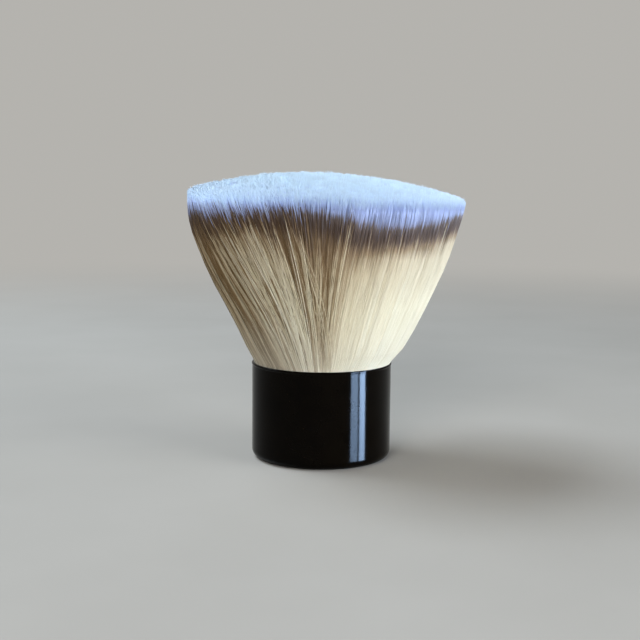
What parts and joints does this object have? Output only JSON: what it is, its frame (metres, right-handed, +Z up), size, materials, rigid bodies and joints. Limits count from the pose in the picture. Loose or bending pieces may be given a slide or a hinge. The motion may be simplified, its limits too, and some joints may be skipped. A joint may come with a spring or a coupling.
{
  "type": "kabuki makeup brush",
  "caption": "Short kabuki makeup brush: a glossy cylindrical handle cup holding a dense tuft that flares to a wide, flat, slightly domed top.",
  "frame": {"origin": "centre of the handle's flat base, on the surface that the brush stands on", "axes": "+Z up along the handle's axis, towards the bristle tips; -Y faces the viewer of the picture and +X is to the viewer's right, the side that the tuft leans to"},
  "size_m": [0.0673, 0.0671, 0.07],
  "materials": {
    "handle": "gloss",
    "weight": "satin",
    "spacer": "matte",
    "collar": "satin",
    "adhesive": "satin",
    "thread": "matte",
    "bristle": "satin"
  },
  "bodies": {
    "root": {"handle_shell": "handle", "base_weight": "weight", "spacer_core": "spacer", "knot_collar": "collar", "root_pad": "adhesive", "knot_binding": "thread", "bond_ring": "adhesive", "bristle_tuft": "bristle"}
  },
  "joints": []
}
